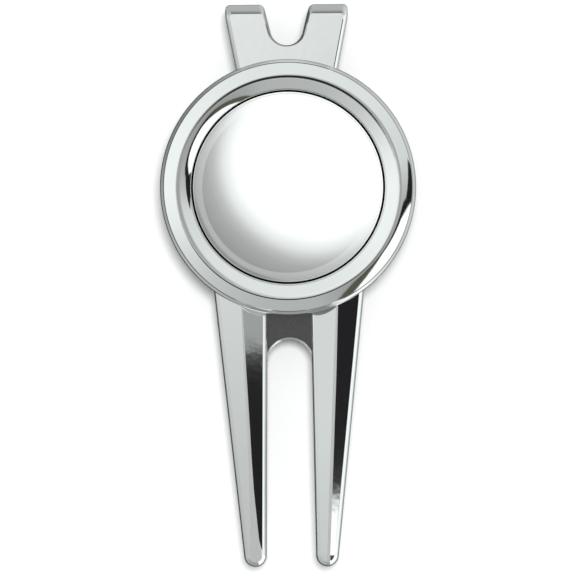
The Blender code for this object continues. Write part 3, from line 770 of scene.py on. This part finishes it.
def torsion_spring():
    """The torsion spring: a swept wire that winds round the pin, with a straight leg at each end."""
    steps = 126
    wide = SPRING_PITCH * SPRING_TURNS
    gap = 0.08 * MM
    leg_y = HINGE_Y + 4.2 * MM
    points = [(-wide / 2.0, leg_y, BACK_Z - gap - SPRING_WIRE_R)]
    for i in range(steps + 1):
        angle = math.radians(90.0) + 2.0 * math.pi * SPRING_TURNS * i / steps
        y = HINGE_Y + SPRING_COIL_R * math.cos(angle)
        z = HINGE_Z + SPRING_COIL_R * math.sin(angle)
        points.append((wide * (i / steps - 0.5), y, z))
    points.append((wide / 2.0, leg_y, CLIP_PLATE + gap + SPRING_WIRE_R))
    curve = bpy.data.curves.new("closing_spring", "CURVE")
    curve.dimensions = "3D"
    curve.bevel_depth = SPRING_WIRE_R
    curve.bevel_resolution = 4
    curve.use_fill_caps = True
    spline = curve.splines.new("POLY")
    spline.points.add(len(points) - 1)
    for point, place in zip(spline.points, points):
        point.co = (*place, 1.0)
    rough = add_piece("closing_spring_curve", curve)
    bpy.context.view_layer.update()
    graph = bpy.context.evaluated_depsgraph_get()
    mesh = bpy.data.meshes.new_from_object(rough.evaluated_get(graph))
    bpy.data.objects.remove(rough, do_unlink=True)
    work = bmesh.new()
    work.from_mesh(mesh)
    bmesh.ops.remove_doubles(work, verts=work.verts, dist=0.0000005)
    piece = finish_mesh(work, "closing_spring")
    piece.data.materials.clear()
    piece.data.materials.append(spring_wire())
    shade(piece, 50.0, weighted=False)
    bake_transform(piece)
    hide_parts("clip_torsion_spring")


# ---------- node helpers

def feed(tree, socket, value):
    """Link a socket to another one, or set it to a number or colour."""
    if isinstance(value, bpy.types.NodeSocket):
        tree.links.new(value, socket)
    else:
        socket.default_value = value


def calc(tree, operation, *values):
    """A Math node fed with sockets or numbers."""
    node = tree.nodes.new("ShaderNodeMath")
    node.operation = operation
    for socket, value in zip(node.inputs, values):
        feed(tree, socket, value)
    return node.outputs[0]


def rise(tree, value, low, high):
    """A smooth step from 0 at low to 1 at high, or the other way when low is above high."""
    node = tree.nodes.new("ShaderNodeMapRange")
    node.interpolation_type = "SMOOTHSTEP"
    node.inputs["From Min"].default_value = min(low, high)
    node.inputs["From Max"].default_value = max(low, high)
    node.inputs["To Min"].default_value = 0.0 if low < high else 1.0
    node.inputs["To Max"].default_value = 1.0 if low < high else 0.0
    feed(tree, node.inputs["Value"], value)
    return node.outputs["Result"]


def length(tree, first, second):
    """The length of a flat vector."""
    squares = [calc(tree, "MULTIPLY", part, part) for part in (first, second)]
    return calc(tree, "SQRT", calc(tree, "ADD", *squares))


def split_up(tree, vector):
    """The X, Y and Z of a vector."""
    node = tree.nodes.new("ShaderNodeSeparateXYZ")
    tree.links.new(vector, node.inputs[0])
    return node.outputs[:3]


def both(tree, *masks):
    """Where all masks hold."""
    result = masks[0]
    for mask in masks[1:]:
        result = calc(tree, "MULTIPLY", result, mask)
    return result


def tinted(tree, factor, first, second, blend="MIX"):
    """Mix two colours by a factor."""
    node = tree.nodes.new("ShaderNodeMix")
    node.data_type = "RGBA"
    node.blend_type = blend
    feed(tree, node.inputs[0], factor)
    feed(tree, node.inputs[6], first)
    feed(tree, node.inputs[7], second)
    return node.outputs[2]


def noise(tree, coordinates, scale, detail=2.0, rough=0.5, stretch=None):
    """A noise pattern in object space, optionally stretched along an axis."""
    if stretch is not None:
        mapping = tree.nodes.new("ShaderNodeMapping")
        mapping.inputs["Scale"].default_value = stretch
        tree.links.new(coordinates, mapping.inputs["Vector"])
        coordinates = mapping.outputs["Vector"]
    node = tree.nodes.new("ShaderNodeTexNoise")
    node.inputs["Scale"].default_value = scale
    node.inputs["Detail"].default_value = detail
    node.inputs["Roughness"].default_value = rough
    tree.links.new(coordinates, node.inputs["Vector"])
    return node.outputs["Fac"]


def new_material(name):
    """A material with its tree, its Principled shader and the object coordinates."""
    made = bpy.data.materials.new(name)
    made.use_nodes = True
    tree = made.node_tree
    shader = tree.nodes["Principled BSDF"]
    coordinates = tree.nodes.new("ShaderNodeTexCoord").outputs["Object"]
    return made, tree, shader, coordinates


def ramp(tree, value, stops):
    """A grey tone read from (position, tone) stops, with straight blends between them."""
    node = tree.nodes.new("ShaderNodeValToRGB")
    marks = node.color_ramp.elements
    while len(marks) > 1:
        marks.remove(marks[-1])
    marks[0].position = stops[0][0]
    marks[0].color = (stops[0][1], stops[0][1], stops[0][1], 1.0)
    for position, tone in stops[1:]:
        marks.new(position).color = (tone, tone, tone, 1.0)
    feed(tree, node.inputs[0], value)
    return node.outputs[0]


def bump(tree, shader, height, distance, strength=1.0):
    """Drive a shader's normal from a height pattern."""
    node = tree.nodes.new("ShaderNodeBump")
    node.inputs["Strength"].default_value = strength
    node.inputs["Distance"].default_value = distance
    tree.links.new(height, node.inputs["Height"])
    tree.links.new(node.outputs["Normal"], shader.inputs["Normal"])


def mottled(name, metallic, dark, light, smoothest, spread, height, scale, detail=3.0, **pattern):
    """A material whose tone, roughness and relief all follow one fine noise pattern."""
    made, tree, shader, where = new_material(name)
    shader.inputs["Metallic"].default_value = metallic
    grain = noise(tree, where, scale, detail, **pattern)
    tree.links.new(tinted(tree, grain, (*dark, 1.0), (*light, 1.0)), shader.inputs["Base Color"])
    tree.links.new(calc(tree, "MULTIPLY_ADD", grain, spread, smoothest), shader.inputs["Roughness"])
    bump(tree, shader, grain, height)
    return made


# ---------- materials

def chrome_plate():
    """Bright plate over a polished casting: faint waves, hairline polishing marks, slight haze."""
    made, tree, shader, where = new_material("chrome_plate")
    shader.inputs["Metallic"].default_value = 1.0
    waves = noise(tree, where, 420.0, detail=2.5)
    hairs = noise(tree, where, 900.0, detail=3.0, rough=0.7, stretch=(9.0, 0.8, 1.0))
    haze = noise(tree, where, 160.0, detail=3.0)
    tone = tinted(tree, haze, (0.925, 0.945, 0.935, 1.0), (0.955, 0.970, 0.963, 1.0))
    tree.links.new(tone, shader.inputs["Base Color"])
    rough = calc(tree, "MULTIPLY_ADD", hairs, 0.03, 0.035)
    tree.links.new(rough, shader.inputs["Roughness"])
    height = calc(tree, "MULTIPLY_ADD", hairs, 0.02, waves)
    bump(tree, shader, height, 0.000005)
    return made


def satin_wall_painted_shade():
    """The head's upright wall, tumbled and plated but not buffed, so that it mirrors softly; its darker
    tone is painted shade.
    """
    return mottled("satin_wall_painted_shade", 1.0, (0.36, 0.37, 0.365), (0.48, 0.49, 0.485), 0.42, 0.1, 0.000004,
                   1500.0, stretch=(1.0, 1.0, 0.3))


def web_painted_shade():
    """The web's top: the casting's own fine grain, under a plate made dark as painted shade."""
    return mottled("web_painted_shade", 1.0, (0.12, 0.118, 0.118), (0.20, 0.198, 0.198), 0.3, 0.1, 0.000003, 3800.0)


def drawn_ridge():
    """The narrow flat along each tine's ridge, finished with a belt: fine lines and a soft sheen."""
    return mottled("drawn_ridge", 1.0, (0.93, 0.945, 0.935), (0.99, 1.0, 0.995), 0.34, 0.08, 0.000002,
                   1600.0, rough=0.7, stretch=(3.0, 0.4, 1.0))


def recess_painted_shade():
    """The well's floor and wall: near black as painted shade, and grainy and matt."""
    return mottled("recess_painted_shade", 1.0, (0.02, 0.02, 0.02), (0.06, 0.06, 0.06), 0.5, 0.25, 0.00002,
                   3500.0, detail=4.0)


def painted_soft_shade(tree, where):
    """The tone of the painted soft grey shade over the marker's lower left, 1 where there is none; with a
    painted highlight band and a painted shade at its lower left edge.
    """
    x, y, _ = split_up(tree, where)
    away = length(tree, calc(tree, "SUBTRACT", x, SHADE_CENTRE), calc(tree, "SUBTRACT", y, SHADE_CENTRE))
    stops = [(far / SHADE_SPAN, value) for far, value in SHADE_STOPS]
    tone = ramp(tree, calc(tree, "DIVIDE", away, SHADE_SPAN * MM), stops)
    radius = length(tree, x, y)
    # A band near the edge is made lighter: a painted highlight of the lens's rolled edge
    painted_highlight_band = rise(tree, radius, 11.2 * MM, 11.32 * MM)
    highlight_tone = calc(tree, "POWER", tone, 0.70)
    value = calc(tree, "ADD", calc(tree, "MULTIPLY", highlight_tone, painted_highlight_band),
                 calc(tree, "MULTIPLY", tone, calc(tree, "SUBTRACT", 1.0, painted_highlight_band)))
    # At the lower left the tone darkens further at the edge: painted shade of the lens's edge
    corner = both(tree, rise(tree, radius, 11.8 * MM, 12.12 * MM), rise(tree, away, 16.2 * MM, 17.1 * MM))
    return calc(tree, "MULTIPLY", value, calc(tree, "MULTIPLY_ADD", corner, -0.35, 1.0))


def grey(tree, value):
    """A grey colour of a given value."""
    mix = tree.nodes.new("ShaderNodeCombineColor")
    for socket in mix.inputs[:3]:
        tree.links.new(value, socket)
    return mix.outputs[0]


def plated_cup():
    """Nickel plate on the stamped cup; the top of its rim is white, with the print's painted soft shade.
    """
    made, tree, shader, where = new_material("plated_cup")
    x, y, z = split_up(tree, where)
    painted = both(tree, rise(tree, z, CUP_HIGH.z - 0.08 * MM, CUP_HIGH.z - 0.05 * MM),
                   rise(tree, length(tree, x, y), CUP_HIGH.x - 0.03 * MM, CUP_HIGH.x - 0.11 * MM))
    grain = noise(tree, where, 1200.0, detail=3.0)
    plate = tinted(tree, grain, (0.90, 0.91, 0.91, 1.0), (0.95, 0.96, 0.96, 1.0))
    # The white top of the rim carries the print's painted shade
    white_with_painted_shade = grey(tree, calc(tree, "MULTIPLY", painted_soft_shade(tree, where), 0.95))
    tree.links.new(tinted(tree, painted, plate, white_with_painted_shade), shader.inputs["Base Color"])
    tree.links.new(calc(tree, "SUBTRACT", 1.0, painted), shader.inputs["Metallic"])
    tree.links.new(calc(tree, "MULTIPLY_ADD", grain, 0.1, 0.2), shader.inputs["Roughness"])
    bump(tree, shader, grain, 0.000003)
    return made


def white_vinyl_painted_shade():
    """White vinyl with a painted soft grey shade over its lower left."""
    made, tree, shader, where = new_material("white_vinyl_painted_shade")
    speck = noise(tree, where, 9000.0, detail=2.0)
    white = calc(tree, "MULTIPLY_ADD", speck, 0.02, PRINT_WHITE)
    # The white is multiplied by the painted shade
    value = calc(tree, "MULTIPLY", painted_soft_shade(tree, where), white)
    tree.links.new(grey(tree, value), shader.inputs["Base Color"])
    shader.inputs["Roughness"].default_value = 0.45
    bump(tree, shader, speck, 0.000002)
    return made


def clear_resin():
    """Clear domed resin: sight goes through it, and its skin shines on the outside only."""
    made, tree, shader, where = new_material("clear_resin")
    ripple = noise(tree, where, 90.0, detail=1.0)
    tree.nodes.remove(shader)
    clear = tree.nodes.new("ShaderNodeBsdfTransparent")
    clear.inputs["Color"].default_value = (0.985, 0.99, 0.99, 1.0)
    gloss = tree.nodes.new("ShaderNodeBsdfGlossy")
    gloss.inputs["Color"].default_value = (1.0, 1.0, 1.0, 1.0)
    tree.links.new(calc(tree, "MULTIPLY_ADD", ripple, 0.02, 0.02), gloss.inputs["Roughness"])
    fresnel = tree.nodes.new("ShaderNodeFresnel")
    fresnel.inputs["IOR"].default_value = 1.45
    face = tree.nodes.new("ShaderNodeNewGeometry")
    outside = calc(tree, "SUBTRACT", 1.0, face.outputs["Backfacing"])
    mix = tree.nodes.new("ShaderNodeMixShader")
    tree.links.new(calc(tree, "MULTIPLY", fresnel.outputs[0], outside), mix.inputs[0])
    tree.links.new(clear.outputs[0], mix.inputs[1])
    tree.links.new(gloss.outputs[0], mix.inputs[2])
    tree.links.new(mix.outputs[0], tree.nodes["Material Output"].inputs["Surface"])
    return made


def satin_steel():
    """Satin nickel on the clip, brushed along its length."""
    made, tree, shader, where = new_material("satin_steel")
    shader.inputs["Metallic"].default_value = 1.0
    brush = noise(tree, where, 1400.0, detail=4.0, rough=0.65, stretch=(4.0, 0.12, 4.0))
    cloud = noise(tree, where, 120.0, detail=2.0)
    tone = tinted(tree, cloud, (0.60, 0.61, 0.62, 1.0), (0.72, 0.73, 0.73, 1.0))
    tree.links.new(tone, shader.inputs["Base Color"])
    tree.links.new(calc(tree, "MULTIPLY_ADD", brush, 0.22, 0.16), shader.inputs["Roughness"])
    bump(tree, shader, brush, 0.000012)
    return made


def turned_steel():
    """Steel of the pin, with turning rings round its axis."""
    return mottled("turned_steel", 1.0, (0.50, 0.50, 0.51), (0.66, 0.66, 0.67), 0.2, 0.2, 0.000008,
                   1500.0, stretch=(6.0, 0.4, 0.4))


def spring_wire():
    """Drawn spring wire, darker, with draw marks and a thin film of oil."""
    return mottled("spring_wire", 1.0, (0.28, 0.28, 0.29), (0.42, 0.42, 0.43), 0.22, 0.2, 0.000006, 2600.0)


def dress_hidden_nodes():
    """Materials of the CAD nodes that stay: the magnet, its glue and the adhesive film."""
    surfaces = {
        "magnet": ("magnet_plate", 1.0, (0.52, 0.50, 0.47), (0.62, 0.60, 0.56), 0.2, 1500.0),
        "magnet_glue": ("epoxy_film", 0.0, (0.50, 0.42, 0.24), (0.62, 0.54, 0.34), 0.35, 900.0),
        "marker_sticky_film": ("sticky_film", 0.0, (0.74, 0.74, 0.68), (0.84, 0.84, 0.79), 0.4, 2000.0),
    }
    for node, (name, metallic, dark, light, rough, scale) in surfaces.items():
        made = mottled(name, metallic, dark, light, rough, 0.15, 0.000004, scale)
        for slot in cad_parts[node].material_slots:
            slot.material = made


# ---------- studio

# The studio's belts: where each one starts and is complete, in degrees from overhead, and its tones
# as (degrees clockwise from the notched top's side, tone) stops
TENT_BELTS = (
    (3.0, 14.0, ((0, 0.80), (45, 0.77), (75, 0.69), (90, 0.50), (105, 0.38), (130, 0.28), (150, 0.35),
                 (165, 0.45), (195, 0.48), (210, 0.53), (225, 0.60), (240, 0.73), (255, 0.87),
                 (270, 0.94), (300, 0.92), (330, 0.83), (345, 0.80), (360, 0.80))),
    (47.0, 55.0, ((0, 0.42), (75, 0.38), (90, 0.36), (105, 0.42), (150, 0.35), (180, 0.25), (210, 0.28),
                  (225, 0.33), (240, 0.40), (255, 0.50), (262, 0.58), (268, 0.70), (275, 0.68),
                  (285, 0.57), (315, 0.55), (345, 0.45), (360, 0.42))),
    (72.0, 80.0, ((0, 0.45), (60, 0.7), (80, 1.0), (130, 1.0), (150, 0.8), (170, 0.35), (200, 0.35),
                  (240, 0.45), (262, 0.52), (268, 0.66), (275, 0.70), (300, 0.45), (360, 0.45))),
    (92.0, 97.0, ((0, 0.62), (15, 0.62), (30, 0.52), (60, 0.60), (90, 0.58), (105, 0.62), (120, 0.55),
                  (135, 0.80), (142, 1.0), (154, 1.0), (162, 0.32), (180, 0.32), (195, 0.30), (210, 0.43),
                  (225, 0.47), (240, 0.47), (255, 0.36), (270, 0.34), (285, 0.26), (300, 0.22),
                  (318, 0.25), (330, 0.33), (345, 0.52), (360, 0.62))),
    (104.0, 112.0, ((0, 0.22), (30, 0.26), (60, 0.32), (90, 0.32), (120, 0.28), (150, 0.20), (180, 0.14),
                    (225, 0.07), (240, 0.06), (270, 0.08), (300, 0.08), (330, 0.14), (360, 0.22))),
)
TENT_TINT = (0.975, 1.012, 1.0, 1.0)


def studio_world():
    """Soft studio surroundings, given by direction: light tent, dark gaps and one bright window.

    u and v are the direction's place on a map with the zenith in the middle and the horizon at a
    distance of 1; u grows towards +X and v towards +Y.
    """
    world = bpy.data.worlds.new("studio")
    bpy.context.scene.world = world
    world.use_nodes = True
    tree = world.node_tree
    tree.nodes.clear()
    x, y, z = split_up(tree, tree.nodes.new("ShaderNodeTexCoord").outputs["Generated"])
    off = calc(tree, "DIVIDE", calc(tree, "ARCCOSINE", z), math.pi / 2.0)
    flat = calc(tree, "MAXIMUM", length(tree, x, y), 0.00001)
    side_x = calc(tree, "DIVIDE", x, flat)
    side_y = calc(tree, "DIVIDE", y, flat)
    u = calc(tree, "MULTIPLY", side_x, off)
    v = calc(tree, "MULTIPLY", side_y, off)

    around = calc(tree, "ARCTAN2", x, y)
    around = calc(tree, "FRACT", calc(tree, "ADD", calc(tree, "DIVIDE", around, 2.0 * math.pi), 1.0))

    def beyond(a, b, c, soft):
        """The side of the map's line a*u + b*v + c = 0 where that sum is positive, softly edged."""
        place = calc(tree, "ADD", calc(tree, "MULTIPLY_ADD", u, a, c), calc(tree, "MULTIPLY", v, b))
        return rise(tree, place, -soft, soft)

    def spot(centre_u, centre_v, half_u, half_v, soft):
        """A soft-edged ellipse of the map."""
        du = calc(tree, "MULTIPLY", calc(tree, "SUBTRACT", u, centre_u), 1.0 / half_u)
        dv = calc(tree, "MULTIPLY", calc(tree, "SUBTRACT", v, centre_v), 1.0 / half_v)
        return rise(tree, length(tree, du, dv), 1.0 + soft, 1.0 - soft)

    # The tent: a stack of belts, each with its own tones round the compass from +Y towards +X
    color = (0.89, 0.90, 0.895, 1.0)
    for start_deg, end_deg, stops in TENT_BELTS:
        belt = ramp(tree, around, [(degrees / 360.0, tone) for degrees, tone in stops])
        belt = tinted(tree, 1.0, belt, TENT_TINT, "MULTIPLY")
        color = tinted(tree, rise(tree, off, start_deg / 90.0, end_deg / 90.0), color, belt)

    # Behind the notched top: a dark gap that fades out towards the horizon
    behind = both(tree, rise(tree, side_y, 0.88, 0.96), rise(tree, off, 0.6, 0.63),
                  rise(tree, off, 0.92, 0.64))
    color = tinted(tree, behind, color, (0.08, 0.082, 0.08, 1.0))
    # A soft grey patch at the zenith's right, and the dark shape of the camera next to it
    color = tinted(tree, spot(0.07, 0.0, 0.08, 0.09, 0.5), color, (0.36, 0.365, 0.36, 1.0))
    color = tinted(tree, spot(-0.012, -0.055, 0.075, 0.05, 0.4), color, (0.015, 0.015, 0.015, 1.0))
    # The dark side of the room on the right
    card = both(tree, beyond(1.0, -0.733, -0.3875, 0.012), beyond(-0.445, -1.0, 0.329, 0.003),
                beyond(0.274, 1.0, -0.077, 0.003), rise(tree, off, 0.86, 0.82))
    color = tinted(tree, card, color, (0.016, 0.015, 0.017, 1.0))
    # The window, in a frame that is black in its upper part and olive in its lower part
    frame_shape = both(tree, beyond(1.0, 0.17, -0.125, 0.012), beyond(0.8, -1.0, -0.2726, 0.012),
                       beyond(0.14, -1.0, -0.0776, 0.01), rise(tree, u, 0.52, 0.48),
                       rise(tree, off, 1.02, 0.97))
    olive, black = (0.09, 0.09, 0.068, 1.0), (0.012, 0.012, 0.012, 1.0)
    frame_tone = tinted(tree, rise(tree, v, -0.2, -0.15), olive, black)
    color = tinted(tree, frame_shape, color, frame_tone)
    window = both(tree, beyond(1.0, 0.17, -0.205, 0.012), beyond(0.8, -1.0, -0.3476, 0.01),
                  beyond(0.14, -1.0, -0.1326, 0.008), beyond(-0.274, -1.0, 0.077, 0.003),
                  rise(tree, off, 1.03, 0.99))
    color = tinted(tree, window, color, (1.12, 1.13, 1.10, 1.0))

    # What the camera itself sees past the floor's edge is a plain pale wall
    path = tree.nodes.new("ShaderNodeLightPath")
    color = tinted(tree, path.outputs["Is Camera Ray"], color, (0.93, 0.94, 0.94, 1.0))
    background = tree.nodes.new("ShaderNodeBackground")
    tree.links.new(color, background.inputs["Color"])
    output = tree.nodes.new("ShaderNodeOutputWorld")
    tree.links.new(background.outputs[0], output.inputs["Surface"])


def floor():
    """A plain white floor disc."""
    work = bmesh.new()
    bmesh.ops.create_circle(work, cap_ends=True, radius=1.6, segments=96)
    mesh = bpy.data.meshes.new("studio_floor")
    work.to_mesh(mesh)
    work.free()
    piece = add_piece("studio_floor", mesh)
    made, tree, shader, where = new_material("white_floor")
    grain = noise(tree, where, 60.0)
    tone = tinted(tree, grain, (0.885, 0.885, 0.885, 1.0), (0.895, 0.895, 0.895, 1.0))
    tree.links.new(tone, shader.inputs["Base Color"])
    shader.inputs["Roughness"].default_value = 0.9
    shader.inputs["Specular IOR Level"].default_value = 0.1
    mesh.materials.append(made)
    piece.visible_glossy = False


def lamps():
    """One broad soft lamp overhead, a little to the upper right, that polished metal does not mirror."""
    data = bpy.data.lights.new("overhead_soft", "SUN")
    data.energy = 2.25
    data.angle = math.radians(12.0)
    lamp = add_piece("overhead_soft", data)
    lamp.rotation_euler = (math.radians(-6.0), math.radians(2.5), 0.0)
    lamp.location = (0.05, 0.05, 0.6)
    lamp.visible_glossy = False


def camera():
    """A long lens straight above the tool, turned half a degree."""
    data = bpy.data.cameras.new("main_camera")
    data.sensor_width = 36.0
    data.lens = data.sensor_width * CAMERA_AWAY / SEEN_WIDE
    data.clip_start = 0.1
    data.clip_end = 10.0
    item = add_piece("main_camera", data)
    item.location = (-0.2 * MM, -13.19 * MM, CREST_Z + CAMERA_AWAY)
    item.rotation_euler = (0.0, 0.0, math.radians(CAMERA_TURN_DEG))
    bpy.context.scene.camera = item


camera()
tool_casting()
marker_cup()
marker_label()
marker_lens()
belt_clip()
hinge_pin()
torsion_spring()
dress_hidden_nodes()
studio_world()
floor()
lamps()
bpy.context.scene.view_settings.view_transform = "Standard"
